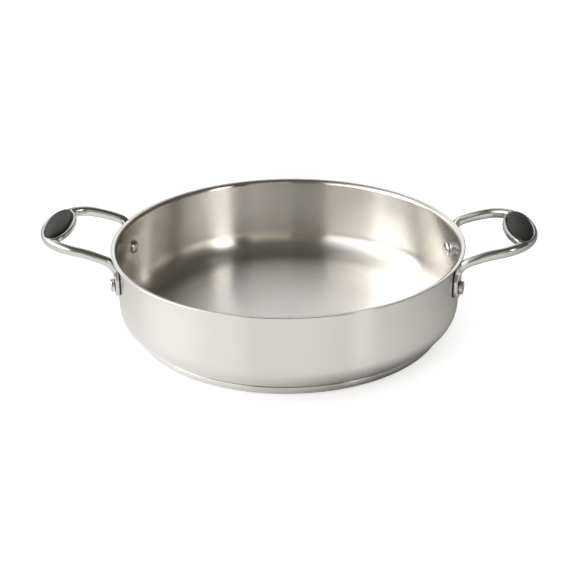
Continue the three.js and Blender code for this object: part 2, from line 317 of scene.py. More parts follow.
class NodeBoard:
    """Node tree of one material or world, with short calls for the nodes that it needs."""

    def __init__(self, tree: bpy.types.NodeTree) -> None:
        """Start with an empty tree."""
        tree.nodes.clear()
        self.tree = tree

    def node(self, kind: str, inputs: dict | None = None, **settings: object) -> Node:
        """Add a node.

        Args:
            kind: Type of the node, without the prefix that all of them share.
            inputs: Values or output sockets for its inputs, by name or number.
            settings: Values of the node's own properties.

        Returns:
            The new node.
        """
        made = self.tree.nodes.new(f"ShaderNode{kind}")
        for key, value in settings.items():
            setattr(made, key, value)
        for key, value in (inputs or {}).items():
            if isinstance(value, Socket):
                self.tree.links.new(value, made.inputs[key])
            else:
                made.inputs[key].default_value = value
        return made

    def math(self, operation: str, *values: object) -> Socket:
        """Result of a Math node."""
        return self.node("Math", dict(enumerate(values)), operation=operation).outputs[0]

    def span(self, value: Socket, ends: Pair, results: Pair = (0.0, 1.0)) -> Socket:
        """Value carried from one range to another, and held at its ends."""
        limits = dict(enumerate((value, *ends, *results)))
        return self.node("MapRange", limits).outputs[0]

    def ramp(self, value: Socket, stops: Stops) -> Socket:
        """Colour ramp.

        Args:
            value: Where on the ramp, from 0 to 1.
            stops: Places on the ramp with their colours.

        Returns:
            The colour there.
        """
        made = self.node("ValToRGB", {0: value})
        elements = made.color_ramp.elements
        while len(elements) < len(stops):
            elements.new(0.5)
        for element, (place, colour) in zip(elements, stops):
            element.position = place
            element.color = (*colour, 1)
        return made.outputs[0]

    def blend(self, share: Socket, first: Socket | Colour, second: Socket | Colour) -> Socket:
        """Colour between two others."""
        ends = [end if isinstance(end, Socket) else (*end, 1) for end in (first, second)]
        return self.node("Mix", {0: share, 6: ends[0], 7: ends[1]}, data_type="RGBA").outputs[2]

    def either(self, share: Socket, first: Node, second: Node) -> Node:
        """Shader between two others."""
        return self.node("MixShader", {0: share, 1: first.outputs[0], 2: second.outputs[0]})

    def noise(self, place: Socket, scale: float, detail: float, roughness: float = 0.5) -> Socket:
        """Value of a noise texture."""
        inputs = {"Vector": place, "Scale": scale, "Detail": detail, "Roughness": roughness}
        return self.node("TexNoise", inputs).outputs[0]

    def bump(self, height: Socket, strength: float, depth: float) -> Socket:
        """Normal of a surface with a fine relief."""
        inputs = {"Strength": strength, "Distance": depth, "Height": height}
        return self.node("Bump", inputs).outputs[0]

    def place(self) -> Socket:
        """Coordinates in the CAD frame."""
        return self.node("TexCoord").outputs["Object"]

    def normal(self) -> Socket:
        """Direction that the surface faces."""
        return self.node("NewGeometry").outputs["Normal"]

    def parts(self, vector: Socket) -> Sequence[Socket]:
        """The x, y and z of a vector."""
        return self.node("SeparateXYZ", {0: vector}).outputs

    def square(self, parts: Sequence[Socket]) -> Socket:
        """Square of the distance from the Z axis."""
        across, along = (self.math("MULTIPLY", part, part) for part in parts[:2])
        return self.math("ADD", across, along)

    def away(self, parts: Sequence[Socket]) -> Socket:
        """Distance from the Z axis."""
        return self.math("SQRT", self.square(parts))

    def turn(self, parts: Sequence[Socket]) -> Socket:
        """Share of the way round the Z axis, from the back over the left, the front and the right."""
        azimuth = self.math("ARCTAN2", parts[0], self.math("MULTIPLY", parts[1], -1.0))
        return self.span(azimuth, (-math.pi, math.pi))

    def around_axis(self, parts: Sequence[Socket], waves: float, lines: float) -> Socket:
        """Coordinates for marks that run round the Z axis without a seam.

        Args:
            parts: The x, y and z of the place.
            waves: How much the marks change along their run.
            lines: Number of marks in a metre across their run.

        Returns:
            The coordinates.
        """
        radius = self.away(parts)
        safe = self.math("MAXIMUM", radius, MM)
        run_x, run_y = (
            self.math("MULTIPLY", self.math("DIVIDE", part, safe), waves) for part in parts[:2])
        across = self.math("MULTIPLY", self.math("ADD", parts[2], radius), lines)
        return self.node("CombineXYZ", {0: run_x, 1: run_y, 2: across}).outputs[0]


def tinted(colour: Colour, share: float) -> Colour:
    """Colour made darker or lighter by a share."""
    return tuple(share * part for part in colour)


@dataclass(frozen=True)
class Finish(ABC):
    """Material of a surface. Each kind of finish gives its own shader."""

    name: str

    @abstractmethod
    def shader(self, board: NodeBoard) -> Node:
        """Add the nodes of the finish and return its shader."""

    def material(self) -> Material:
        """Make the material."""
        made = bpy.data.materials.new(self.name)
        made.use_nodes = True
        board = NodeBoard(made.node_tree)
        board.node("OutputMaterial", {"Surface": self.shader(board).outputs[0]})
        return made


@dataclass(frozen=True)
class TurnedSteel(Finish):
    """Satin metal with fine marks that run round the pan's axis.

    The satin share makes it less of a mirror towards the axis. Above a height it is polished finer.
    """

    colour: Colour = (0.72, 0.705, 0.68)
    dark_band: float = 0.98
    roughness: float = 0.23
    flat_roughness: float = 0.25
    flat_range: Pair = (0.3, 0.95)
    satin_share: float = 0.0
    satin_radius: float = 116 * MM
    polished_above: float = 1.0
    polished_roughness: float = 0.19
    roughness_change: float = 0.012
    anisotropy: float = 1.0
    anisotropy_turn: float = 0.25
    marks: float = 2200.0
    bands: float = 110.0
    mark_waves: float = 3.0
    mark_depth: float = 0.002 * MM
    mark_strength: float = 0.12

    def shader(self, board: NodeBoard) -> Node:
        """Anisotropic metal, with marks in its relief and bands in its tint."""
        parts = board.parts(board.place())
        marks = board.noise(board.around_axis(parts, self.mark_waves, self.marks), 1.0, 4.0, 0.6)
        bands = board.noise(board.around_axis(parts, self.mark_waves, self.bands), 1.0, 2.0)
        tints = zip(NOISE_RANGE, (tinted(self.colour, self.dark_band), self.colour))
        mirror = (1.0 - self.satin_share, 1.0)
        tangent = board.node("Tangent", direction_type="RADIAL", axis="Z")
        return board.node("BsdfPrincipled", {
            "Base Color": board.ramp(bands, list(tints)),
            "Metallic": board.span(board.square(parts), (0.0, self.satin_radius ** 2), mirror),
            "Roughness": self.rough(board, parts, marks, bands),
            "Anisotropic": self.anisotropy,
            "Anisotropic Rotation": self.anisotropy_turn,
            "Normal": board.bump(marks, self.mark_strength, self.mark_depth),
            "Tangent": tangent.outputs[0],
        })

    def rough(self, board: NodeBoard, parts: Sequence[Socket], marks: Socket, bands: Socket) -> Socket:
        """Roughness by the slope of the surface and by its marks, and finer where it is polished.

        Args:
            board: Node tree of the material.
            parts: The x, y and z of the place.
            marks: Noise of the fine marks.
            bands: Noise of the wide bands.

        Returns:
            The roughness.
        """
        level = board.math("ABSOLUTE", board.parts(board.normal())[2])
        mean = board.span(level, self.flat_range, (self.roughness, self.flat_roughness))
        fine, wide = (
            board.span(noise, NOISE_RANGE, (-change, change))
            for noise, change in ((marks, self.roughness_change), (bands, self.roughness_change / 2)))
        rough = board.math("ADD", mean, board.math("ADD", fine, wide))
        polish = board.span(parts[2], (self.polished_above, self.polished_above + MM))
        return board.node("Mix", {0: polish, 2: rough, 3: self.polished_roughness}).outputs[0]


@dataclass(frozen=True)
class PolishedSteel(Finish):
    """Cast steel polished by hand: nearly a mirror, with a faint waviness and haze."""

    wall_radius: float
    rim_height: float
    colour: Colour = (0.63, 0.632, 0.622)
    hazy_tint: float = 0.93
    tint_range: Pair = (0.3, 0.75)
    roughness: float = 0.15
    haze: float = 0.06
    haze_range: Pair = (0.35, 0.7)
    haze_scale: float = 90.0
    wave_scale: float = 240.0
    wave_depth: float = 0.03 * MM
    wave_strength: float = 0.2
    # Painted shade: the backs of the feet and necks towards the wall are near-black, standing in for the
    # shade of the narrow gap.
    gap_shade_colour: Colour = (0.05, 0.049, 0.046)
    back_roughness: float = 0.6
    back_facing: Pair = (-0.8, -0.5)
    back_fade: float = 2 * MM

    def shader(self, board: NodeBoard) -> Node:
        """Metal with haze in its tint and roughness, waves in its relief, and painted shade on the backs
        towards the wall.
        """
        place = board.place()
        haze = board.noise(place, self.haze_scale, 5.0)
        waves = board.noise(place, self.wave_scale, 1.0)
        backs = self.backs(board, place)
        tints = zip(self.tint_range, (self.colour, tinted(self.colour, self.hazy_tint)))
        shine = board.span(haze, self.haze_range, (self.roughness, self.roughness + self.haze))
        dull = board.math("MULTIPLY", backs, self.back_roughness)
        return board.node("BsdfPrincipled", {
            "Base Color": board.blend(backs, board.ramp(haze, list(tints)), self.gap_shade_colour),
            "Metallic": 1.0,
            "Roughness": board.math("MAXIMUM", shine, dull),
            "Normal": board.bump(waves, self.wave_strength, self.wave_depth),
        })

    def backs(self, board: NodeBoard, place: Socket) -> Socket:
        """Share of the painted shade of the gap to the wall: the backs of the feet and necks, towards the
        wall, painted near-black and rough like unpolished casting.

        Args:
            board: Node tree of the material.
            place: Coordinates in the CAD frame.

        Returns:
            One on the backs and zero elsewhere.
        """
        parts = board.parts(place)
        level = board.node("CombineXYZ", {0: parts[0], 1: parts[1]}).outputs[0]
        ray = board.node("VectorMath", {0: level}, operation="NORMALIZE").outputs[0]
        facing = board.node("VectorMath", {0: ray, 1: board.normal()}, operation="DOT_PRODUCT")
        inward = board.span(facing.outputs["Value"], self.back_facing, (1.0, 0.0))
        below = board.span(parts[2], (self.rim_height - self.back_fade, self.rim_height), (1.0, 0.0))
        outside = board.math("GREATER_THAN", board.away(parts), self.wall_radius)
        return board.math("MULTIPLY", board.math("MULTIPLY", inward, below), outside)


@dataclass(frozen=True)
class SoftGrip(Finish):
    """Charcoal soft moulding with a fine matt grain and a faint sheen."""

    colour: Colour = (0.012, 0.012, 0.012)
    light_cloud: float = 1.35
    roughness: float = 0.4
    roughness_change: float = 0.05
    gloss: float = 0.32
    sheen: float = 0.07
    sheen_roughness: float = 0.3
    cloud_scale: float = 60.0
    grain_scale: float = 2600.0
    grain_depth: float = 0.02 * MM
    grain_strength: float = 0.4

    def shader(self, board: NodeBoard) -> Node:
        """Dark moulding with clouds in its tint and grain in its relief."""
        place = board.place()
        grain = board.noise(place, self.grain_scale, 3.0)
        clouds = board.noise(place, self.cloud_scale, 3.0)
        tints = zip(NOISE_RANGE, (self.colour, tinted(self.colour, self.light_cloud)))
        limits = (self.roughness - self.roughness_change, self.roughness + self.roughness_change)
        return board.node("BsdfPrincipled", {
            "Base Color": board.ramp(clouds, list(tints)),
            "Roughness": board.span(clouds, NOISE_RANGE, limits),
            "Normal": board.bump(grain, self.grain_strength, self.grain_depth),
            "Specular IOR Level": self.gloss,
            "Sheen Weight": self.sheen,
            "Sheen Roughness": self.sheen_roughness,
        })


@dataclass(frozen=True)
class PanSizes:
    """Sizes that more than one piece takes from the frame or repeats from the CAD source."""

    rim_radius: float
    rim_height: float
    floor_height: float
    lip_reach: float = 4.0 * MM
    lip_bend: float = 2.4 * MM
    lip_turn: float = math.radians(82)
    wall: float = 1.0 * MM
    corner_radius: float = 20.0 * MM
    steps: int = 256

    @classmethod
    def from_frame(cls) -> Self:
        """Read the rim and the floor's underside from the CAD body."""
        low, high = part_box("pan_body")
        return cls(rim_radius=high.x, rim_height=high.z, floor_height=low.z)

    @property
    def radius(self) -> float:
        """Outer radius of the upright wall."""
        return self.rim_radius - self.lip_reach

    @property
    def lip_flat(self) -> float:
        """Length of the lip's flat flange."""
        bend_reach = self.lip_bend * (1 - math.cos(self.lip_turn))
        return (self.lip_reach - bend_reach) / math.sin(self.lip_turn)

    @property
    def lip_height(self) -> float:
        """Height at which the lip starts to bend out."""
        bend_rise = (self.lip_bend + self.wall) * math.sin(self.lip_turn)
        return self.rim_height - bend_rise - self.lip_flat * math.cos(self.lip_turn)

    @property
    def corner_height(self) -> float:
        """Height of the middle of the rounded bottom corner."""
        return self.floor_height + self.corner_radius

    @property
    def floor_radius(self) -> float:
        """Radius of the flat floor."""
        return self.radius - self.corner_radius

    def lip_side(self, radius: float, steps: int) -> Profile:
        """One side of the lip from the wall to its edge.

        Args:
            radius: Radius of the side's bend.
            steps: Number of straight stretches in the bend.

        Returns:
            The points of the bend and the end of the flat flange.
        """
        last = math.pi - self.lip_turn
        bend = arc(self.radius + self.lip_bend, self.lip_height, radius, math.pi, last, steps)
        x, z = bend[-1]
        end = (x + self.lip_flat * math.sin(self.lip_turn), z + self.lip_flat * math.cos(self.lip_turn))
        return [*bend, end]

    def corner_underside(self, radius: float) -> float:
        """Height of the outer side of the rounded corner at a distance from the axis."""
        across = max(radius - self.floor_radius, 0.0)
        return self.corner_height - math.sqrt(self.corner_radius ** 2 - across ** 2)


@dataclass(frozen=True)
class Station:
    """One section along a handle's bow."""

    middle: Vector
    across: float
    width: float
    height: float
    square: float


def mix(a: float, b: float, share: float) -> float:
    """Value between two others."""
    return a + (b - a) * share


def eased(value: float, low: float, high: float) -> float:
    """Share of the way from low to high, with a soft start and end."""
    share = min(max((value - low) / (high - low), 0.0), 1.0)
    return share * share * (3 - 2 * share)


def outward(angle: float) -> Vector:
    """Level direction at an angle about Z."""
    return Vector((math.cos(angle), math.sin(angle), 0))


@dataclass
class Handle:
    """Cast loop handle: two feet on the wall, two arms, a rounded loop and an oval ring."""

    sizes: PanSizes
    rivet_spread: float = 76.8 * MM
    rivet_drop: float = 23.4 * MM
    foot_width: float = 18.0 * MM
    foot_rise: float = 7.0 * MM
    foot_thickness: float = 3.2 * MM
    foot_stock: float = 1.5
    seat: float = 0.3 * MM
    wall_gap: float = 0.55 * MM
    hole_radius: float = 3.3 * MM
    loop_width: float = 92.5 * MM
    loop_reach: float = 62.0 * MM
    loop_round: float = 37.0 * MM
    shoulder_reach: float = 5.0 * MM
    shoulder_spread: float = 87.2 * MM
    shoulder_rise: float = 0.6 * MM
    shoulder_slope: float = 0.4
    shoulder_height: float = 7.2 * MM
    shoulder_length: float = 6.0 * MM
    arm_width: float = 7.4 * MM
    arm_height: float = 8.1 * MM
    tip_height: float = 6.4 * MM
    neck_length: float = 8.0 * MM
    neck_width: float = 9.5 * MM
    foot_square: float = 5.0
    arm_square: float = 2.5
    tip_square: float = 3.0
    neck_share: float = 0.5
    tip_share: float = 0.3
    ring_rise: float = 13.5 * MM
    ring_tilt: float = math.radians(5)
    ring_proud: float = 0.6 * MM
    ring_border: float = 3.1 * MM
    ring_outer_border: float = 4.2 * MM
    ring_thickness: float = 4.8 * MM
    ring_chamfer: float = 0.6 * MM
    insert_length: float = 60.0 * MM
    insert_width: float = 20.2 * MM
    insert_gap: float = 0.3 * MM
    insert_seat_depth: float = 2.2 * MM
    insert_edge: float = 0.4 * MM
    insert_crown: float = 3.0 * MM
    insert_smooth: float = math.radians(50)
    web_thickness: float = 1.4 * MM
    web_depth: float = 2.6 * MM
    flange_grip: float = 1.8 * MM
    flange_thickness: float = 1.2 * MM
    section_points: int = 32
    oval_points: int = 96
    foot_steps: int = 10
    bend_steps: int = 20
    arm_steps: int = 8
    loop_steps: int = 28
    crown_steps: int = 16
    hole_points: int = 48
    lip_steps: int = 10
    fillet: float = 2.0 * MM
    cast_grid: float = 0.42 * MM
    polish_share: float = 0.5
    polish_passes: int = 6

    @property
    def rivet_angle(self) -> float:
        """Angle about Z from the handle's middle to a rivet."""
        return math.asin(self.rivet_spread / 2 / self.sizes.radius)

    @property
    def rivet_height(self) -> float:
        """Height of the rivets."""
        return self.sizes.rim_height - self.rivet_drop

    @property
    def foot_radius(self) -> float:
        """Distance from the axis to the outer face of a foot."""
        return self.sizes.radius + self.seat + self.foot_thickness

    @property
    def tip_reach(self) -> float:
        """Distance from the axis to the loop's outer end."""
        return self.sizes.radius + self.loop_reach

    @property
    def loop_start(self) -> float:
        """Distance from the axis to where the arms run into the loop's half oval."""
        return self.tip_reach - self.loop_round

    @property
    def insert_reach(self) -> float:
        """Distance from the axis to the middle of the ring."""
        return self.tip_reach - self.ring_outer_border - self.insert_width / 2

    @property
    def ring_place(self) -> Matrix:
        """Place of the ring and the insert, with the ring's flat top at zero height."""
        height = self.sizes.rim_height + self.ring_rise
        return Matrix.Translation((self.insert_reach, 0, height)) @ Matrix.Rotation(self.ring_tilt, 4, "Y")

    def rivet_place(self, angle: float) -> Matrix:
        """Place of a piece made along Z on a rivet's axis, with its zero on the wall's outer side.

        Args:
            angle: The rivet's angle about the pan's axis.

        Returns:
            The place.
        """
        point = outward(angle) * self.sizes.radius
        point.z = self.rivet_height
        turn = Matrix.Rotation(angle, 4, "Z") @ Matrix.Rotation(QUARTER, 4, "Y")
        return Matrix.Translation(point) @ turn

    def loop_height(self, x: float) -> float:
        """Height of the loop's middle line over the arms and round the half oval.

        Args:
            x: Distance from the pan's axis along the handle.

        Returns:
            The height.
        """
        start_x = self.sizes.radius + self.shoulder_reach
        end_x = self.tip_reach - self.arm_width / 2
        length = end_x - start_x
        u = (x - start_x) / length
        slope = math.tan(self.ring_tilt)
        start = self.sizes.rim_height + self.shoulder_rise
        ring_top = self.sizes.rim_height + self.ring_rise - (end_x - self.insert_reach) * slope
        end = ring_top - self.ring_proud - self.tip_height / 2
        level = start * (1 + 2 * u) * (1 - u) ** 2 + end * u * u * (3 - 2 * u)
        return level + length * (self.shoulder_slope * u * (1 - u) ** 2 + slope * u * u * (1 - u))

    def foot_stations(self) -> list[Station]:
        """Sections of one foot, from its round lower end up to the rivet."""
        stations = []
        across = self.rivet_angle + QUARTER
        height = self.foot_height
        for i in range(self.foot_steps + 1):
            angle = (i + 1) / (self.foot_steps + 1) * QUARTER
            middle = self.foot_middle(self.rivet_height - self.foot_width / 2 * math.cos(angle))
            width = self.foot_width * math.sin(angle)
            stations.append(Station(middle, across, width, height, self.foot_square))
        return stations

    @property
    def foot_height(self) -> float:
        """Thickness of the foot before its back is cut to the wall."""
        return self.seat + self.foot_stock * self.foot_thickness

    def foot_middle(self, height: float) -> Vector:
        """Middle of a foot's section.

        Args:
            height: Height of the section.

        Returns:
            The middle.
        """
        point = outward(self.rivet_angle) * (self.foot_radius - self.foot_height / 2)
        point.z = height
        return point

    def bend_stations(self) -> list[Station]:
        """Sections of the neck, which bends from the foot to the arm."""
        start = self.foot_middle(self.rivet_height + self.foot_rise)
        shoulder = Vector((
            self.sizes.radius + self.shoulder_reach,
            self.shoulder_spread / 2,
            self.sizes.rim_height + self.shoulder_rise,
        ))
        lift = start + Vector((0, 0, self.neck_length))
        lead = shoulder - Vector((1, 0, self.shoulder_slope)) * self.shoulder_length
        stations = []
        for i in range(self.bend_steps + 1):
            t = i / self.bend_steps
            s = 1 - t
            middle = start * s ** 3 + lift * 3 * s * s * t + lead * 3 * s * t * t + shoulder * t ** 3
            neck = mix(self.foot_width, self.neck_width, eased(t, 0, self.neck_share))
            stations.append(Station(
                middle,
                mix(self.rivet_angle + QUARTER, QUARTER, t),
                mix(neck, self.arm_width, eased(t, self.neck_share, 1)),
                mix(self.foot_height, self.shoulder_height, t),
                mix(self.foot_square, self.arm_square, t),
            ))
        return stations

    def arm_stations(self) -> list[Station]:
        """Sections of the straight arm between the shoulder and the loop."""
        start_x = self.sizes.radius + self.shoulder_reach
        half = (self.loop_width - self.arm_width) / 2
        stations = []
        for i in range(1, self.arm_steps):
            t = i / self.arm_steps
            x = mix(start_x, self.loop_start, t)
            y = mix(self.shoulder_spread / 2, half, eased(t, 0, 1))
            height = mix(self.shoulder_height, self.arm_height, t)
            middle = Vector((x, y, self.loop_height(x)))
            stations.append(Station(middle, QUARTER, self.arm_width, height, self.arm_square))
        return stations

    def loop_stations(self) -> list[Station]:
        """Sections of a quarter of the loop's oval, up to its outer end."""
        half_x = self.loop_round - self.arm_width / 2
        half_y = (self.loop_width - self.arm_width) / 2
        stations = []
        for i in range(self.loop_steps + 1):
            t = i / self.loop_steps
            angle = (1 - t) * QUARTER
            x = half_x * math.cos(angle)
            y = half_y * math.sin(angle)
            middle = Vector((self.loop_start + x, y, self.loop_height(self.loop_start + x)))
            across = math.atan2(y / half_y ** 2, x / half_x ** 2)
            height = mix(self.arm_height, self.tip_height, eased(t, self.tip_share, 1))
            square = mix(self.arm_square, self.tip_square, t)
            stations.append(Station(middle, across, self.arm_width, height, square))
        return stations

    def section(self, station: Station, before: Vector, after: Vector) -> Ring:
        """Rounded ring across the bow at one station.

        Args:
            station: The section's place and sizes.
            before: Middle of the section before it.
            after: Middle of the section after it.

        Returns:
            The ring's points.
        """
        run = (after - before).normalized()
        up = run.cross(outward(station.across)).normalized()
        side = up.cross(run)
        ring = []
        for k in range(self.section_points):
            angle = 2 * math.pi * (k + 0.5) / self.section_points
            a = math.copysign(abs(math.cos(angle)) ** (2 / station.square), math.cos(angle))
            b = math.copysign(abs(math.sin(angle)) ** (2 / station.square), math.sin(angle))
            ring.append(station.middle + side * (a * station.width / 2) + up * (b * station.height / 2))
        return ring

    def bow(self) -> Object:
        """Loft one arm's sections and the same sections mirrored to the other side."""
        stations = [
            *self.foot_stations(), *self.bend_stations(), *self.arm_stations(), *self.loop_stations()]
        flip = Matrix.Scale(-1, 4, (0, 1, 0))
        middles = [s.middle for s in stations]
        middles = [middles[0], *middles, flip @ middles[-2]]
        rings = [
            self.section(station, middles[i], middles[i + 2]) for i, station in enumerate(stations)]
        other_side = [[flip @ point for point in ring] for ring in reversed(rings[:-1])]
        return lofted("bow", [*rings, *other_side])

    def grown(self, amount: float, height: float) -> Ring:
        """Oval of the insert's outline, grown on all sides.

        Args:
            amount: How much it grows.
            height: Its height over the ring's top.

        Returns:
            The oval's points.
        """
        half_x = self.insert_width / 2 + amount
        half_y = self.insert_length / 2 + amount
        return oval(half_x, half_y, height, self.oval_points)

    def ring(self) -> Object:
        """Oval ring with chamfered edges, still filled."""
        narrow = self.ring_border - self.ring_chamfer
        rings = [
            self.grown(narrow, -self.ring_thickness),
            self.grown(self.ring_border, self.ring_chamfer - self.ring_thickness),
            self.grown(self.ring_border, -self.ring_chamfer),
            self.grown(narrow, 0),
        ]
        return moved(lofted("ring", rings), self.ring_place)

    def opening(self) -> Object:
        """Stepped opening in the ring for the insert, as a cutter."""
        past = CUTTER_REACH * self.ring_thickness
        web_top = -self.insert_seat_depth
        web_bottom = web_top - self.web_thickness
        below = self.flange_grip - self.web_depth
        rings = [
            self.grown(below, -past),
            self.grown(below, web_bottom),
            self.grown(-self.web_depth, web_bottom),
            self.grown(-self.web_depth, web_top),
            self.grown(self.insert_gap, web_top),
            self.grown(self.insert_gap, past),
        ]
        return moved(lofted("opening", rings), self.ring_place)

    def wall_room(self) -> Object:
        """Room that the wall and the lip need, as a cutter for the backs of the feet."""
        s = self.sizes
        gap = self.wall_gap
        lip = s.lip_side(s.lip_bend - gap, self.lip_steps)
        reach = s.rim_radius + gap
        top = s.rim_height + gap
        profile = [
            (0, s.corner_height),
            (s.radius + gap, s.corner_height),
            *lip,
            (reach, lip[-1][1]),
            (reach, top),
            (0, top),
        ]
        return spun("wall_room", profile, s.steps)

    def rivet_hole(self, angle: float) -> Object:
        """Cutter for a rivet's hole through the wall and a foot.

        Args:
            angle: The rivet's angle about the pan's axis.

        Returns:
            The cutter, in its place.
        """
        deselect()
        length = CUTTER_REACH * self.foot_thickness
        bpy.ops.mesh.primitive_cylinder_add(
            vertices=self.hole_points, radius=self.hole_radius, depth=length)
        return moved(bpy.context.object, self.rivet_place(angle))

    def cast(self, name: str) -> Object:
        """Join the bow and the ring, cut the opening and the seats, and round all edges as a casting.

        Args:
            name: Name of the finished handle.

        Returns:
            The right handle, in its place.
        """
        piece = self.bow()
        cut(piece, self.ring(), Cut.ADD)
        for push in (self.fillet, -self.fillet):
            apply_modifier(piece, "REMESH", mode="VOXEL", voxel_size=self.cast_grid)
            apply_modifier(piece, "DISPLACE", strength=push, mid_level=0.0)
        cut(piece, self.opening(), Cut.REMOVE)
        cut(piece, self.wall_room(), Cut.REMOVE)
        for angle in (self.rivet_angle, -self.rivet_angle):
            cut(piece, self.rivet_hole(angle), Cut.REMOVE)
        apply_modifier(piece, "REMESH", mode="VOXEL", voxel_size=self.cast_grid)
        apply_modifier(piece, "SMOOTH", factor=self.polish_share, iterations=self.polish_passes)
        select(piece)
        bpy.ops.object.shade_smooth()
        piece.name = name
        return piece

    def insert(self, name: str) -> Object:
        """Soft insert: a crowned pad on the ring's web, a waist and a flange that grips below.

        Args:
            name: Name of the finished insert.

        Returns:
            The right handle's insert, in its place.
        """
        web_top = -self.insert_seat_depth
        waist = -self.web_depth - self.insert_gap
        flange_top = web_top - self.web_thickness - self.insert_gap
        flange_bottom = flange_top - self.flange_thickness
        flange = waist + self.flange_grip
        rings = [
            self.grown(flange - self.flange_thickness / 2, flange_bottom),
            self.grown(flange, flange_bottom + self.flange_thickness / 2),
            self.grown(flange, flange_top),
            self.grown(waist, flange_top),
            self.grown(waist, web_top + self.insert_gap),
            self.grown(0, web_top + self.insert_gap),
        ]
        for i in range(self.crown_steps):
            angle = i / self.crown_steps * QUARTER
            share = math.cos(angle)
            half_x = self.insert_width / 2 * share
            half_y = self.insert_length / 2 * share
            height = self.insert_edge + self.insert_crown * math.sin(angle)
            rings.append(oval(half_x, half_y, height, self.oval_points))
        piece = moved(lofted(name, rings), self.ring_place)
        smooth(piece, self.insert_smooth)
        return piece


@dataclass
class Shell:
    """Drawn body: flat floor, rounded corner, upright wall and flared lip with a rounded edge."""

    sizes: PanSizes
    handle: Handle
    corner_steps: int = 24
    lip_steps: int = 14
    edge_steps: int = 6
    hole_band: float = 7.0 * MM

    def profile(self) -> Profile:
        """Section of the shell from the axis out to the lip and back."""
        s = self.sizes
        end = math.pi - s.lip_turn
        edge_x, edge_z = s.lip_side(s.lip_bend + s.wall / 2, self.lip_steps)[-1]
        edge = arc(edge_x, edge_z, s.wall / 2, end - math.pi, end, self.edge_steps)
        low, high = (self.handle.rivet_height + step for step in (-self.hole_band, self.hole_band))
        inside = s.radius - s.wall
        return [
            (0, s.floor_height),
            *arc(s.floor_radius, s.corner_height, s.corner_radius, -QUARTER, 0, self.corner_steps),
            (s.radius, low),
            (s.radius, high),
            *s.lip_side(s.lip_bend, self.lip_steps)[:-1],
            *edge,
            *s.lip_side(s.lip_bend + s.wall, self.lip_steps)[-2::-1],
            (inside, high),
            (inside, low),
            *arc(s.floor_radius, s.corner_height, s.corner_radius - s.wall, 0, -QUARTER, self.corner_steps),
            (0, s.floor_height + s.wall),
        ]

    def build(self, finish: Material) -> None:
        """Turn the shell, cut its rivet holes and dress it.

        Args:
            finish: Material of the shell.
        """
        piece = spun("shell", self.profile(), self.sizes.steps)
        for side in Side:
            for angle in (self.handle.rivet_angle, -self.handle.rivet_angle):
                cut(piece, self.handle.rivet_hole(side.value + angle), Cut.REMOVE)
        smooth(piece)
        settle(piece, "pan_body", finish)


@dataclass
class Base:
    """Steel cap under the shell and the aluminium core that it closes in."""

    sizes: PanSizes
    cap_wall: float = 0.8 * MM
    edge_radius: float = 6.0 * MM
    groove: float = 0.5 * MM
    rim_round: float = 0.35 * MM
    edge_steps: int = 16
    round_steps: int = 5

    def profile(self) -> Profile:
        """Section of the cap from the axis out to its rounded upper rim and back."""
        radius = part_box("base_cap")[1].x
        inside = radius - self.cap_wall
        top = self.sizes.corner_underside(inside) - self.groove
        middle = radius - self.rim_round
        bend = radius - self.edge_radius
        return [
            (0, 0),
            *arc(bend, self.edge_radius, self.edge_radius, -QUARTER, 0, self.edge_steps),
            *arc(middle, top - self.rim_round, self.rim_round, 0, QUARTER, self.round_steps),
            (inside, top),
            *arc(bend, self.edge_radius, self.edge_radius - self.cap_wall, 0, -QUARTER, self.edge_steps),
            (0, self.cap_wall),
        ]

    def build(self, finish: Material, core_finish: Material) -> None:
        """Turn the cap, dress it and give the hidden core its finish.

        Args:
            finish: Material of the cap.
            core_finish: Material of the core.
        """
        piece = spun("cap", self.profile(), self.sizes.steps)
        smooth(piece)
        settle(piece, "base_cap", finish)
        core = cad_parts["base_core"]
        core.data.materials.clear()
        core.data.materials.append(core_finish)
        log.info("base_core keeps its CAD shape, with a finish of its own")


@dataclass
class Rivet:
    """Solid rivet along Z, zero on the wall's outer side: a domed head inside, a flat head outside."""

    handle: Handle
    shank_radius: float = 3.0 * MM
    seat: float = 0.3 * MM
    outer_radius: float = 5.3 * MM
    outer_height: float = 2.6 * MM
    outer_round: float = 0.5 * MM
    inner_radius: float = 5.75 * MM
    inner_height: float = 2.8 * MM
    dome_steps: int = 10
    round_steps: int = 5
    turn_steps: int = 48

    def profile(self) -> Profile:
        """Section of the rivet from the top of its dome to the middle of its flat head."""
        s = self.handle.sizes
        inside = math.sqrt((s.radius - s.wall) ** 2 - self.inner_radius ** 2)
        inner_seat = inside - self.seat - s.radius
        outer_seat = self.handle.foot_radius - s.radius + self.seat
        outer_end = outer_seat + self.outer_height
        dome = []
        for i in range(self.dome_steps + 1):
            angle = i / self.dome_steps * QUARTER
            height = inner_seat - self.inner_height * math.cos(angle)
            dome.append((self.inner_radius * math.sin(angle), height))
        edge_x = self.outer_radius - self.outer_round
        return [
            *dome,
            (self.shank_radius, inner_seat),
            (self.shank_radius, outer_seat),
            (self.outer_radius, outer_seat),
            *arc(edge_x, outer_end - self.outer_round, self.outer_round, 0, QUARTER, self.round_steps),
            (0, outer_end),
        ]

    def build(self) -> Object:
        """Turn one rivet about the Z axis."""
        piece = spun("rivet", self.profile(), self.turn_steps)
        smooth(piece)
        return piece


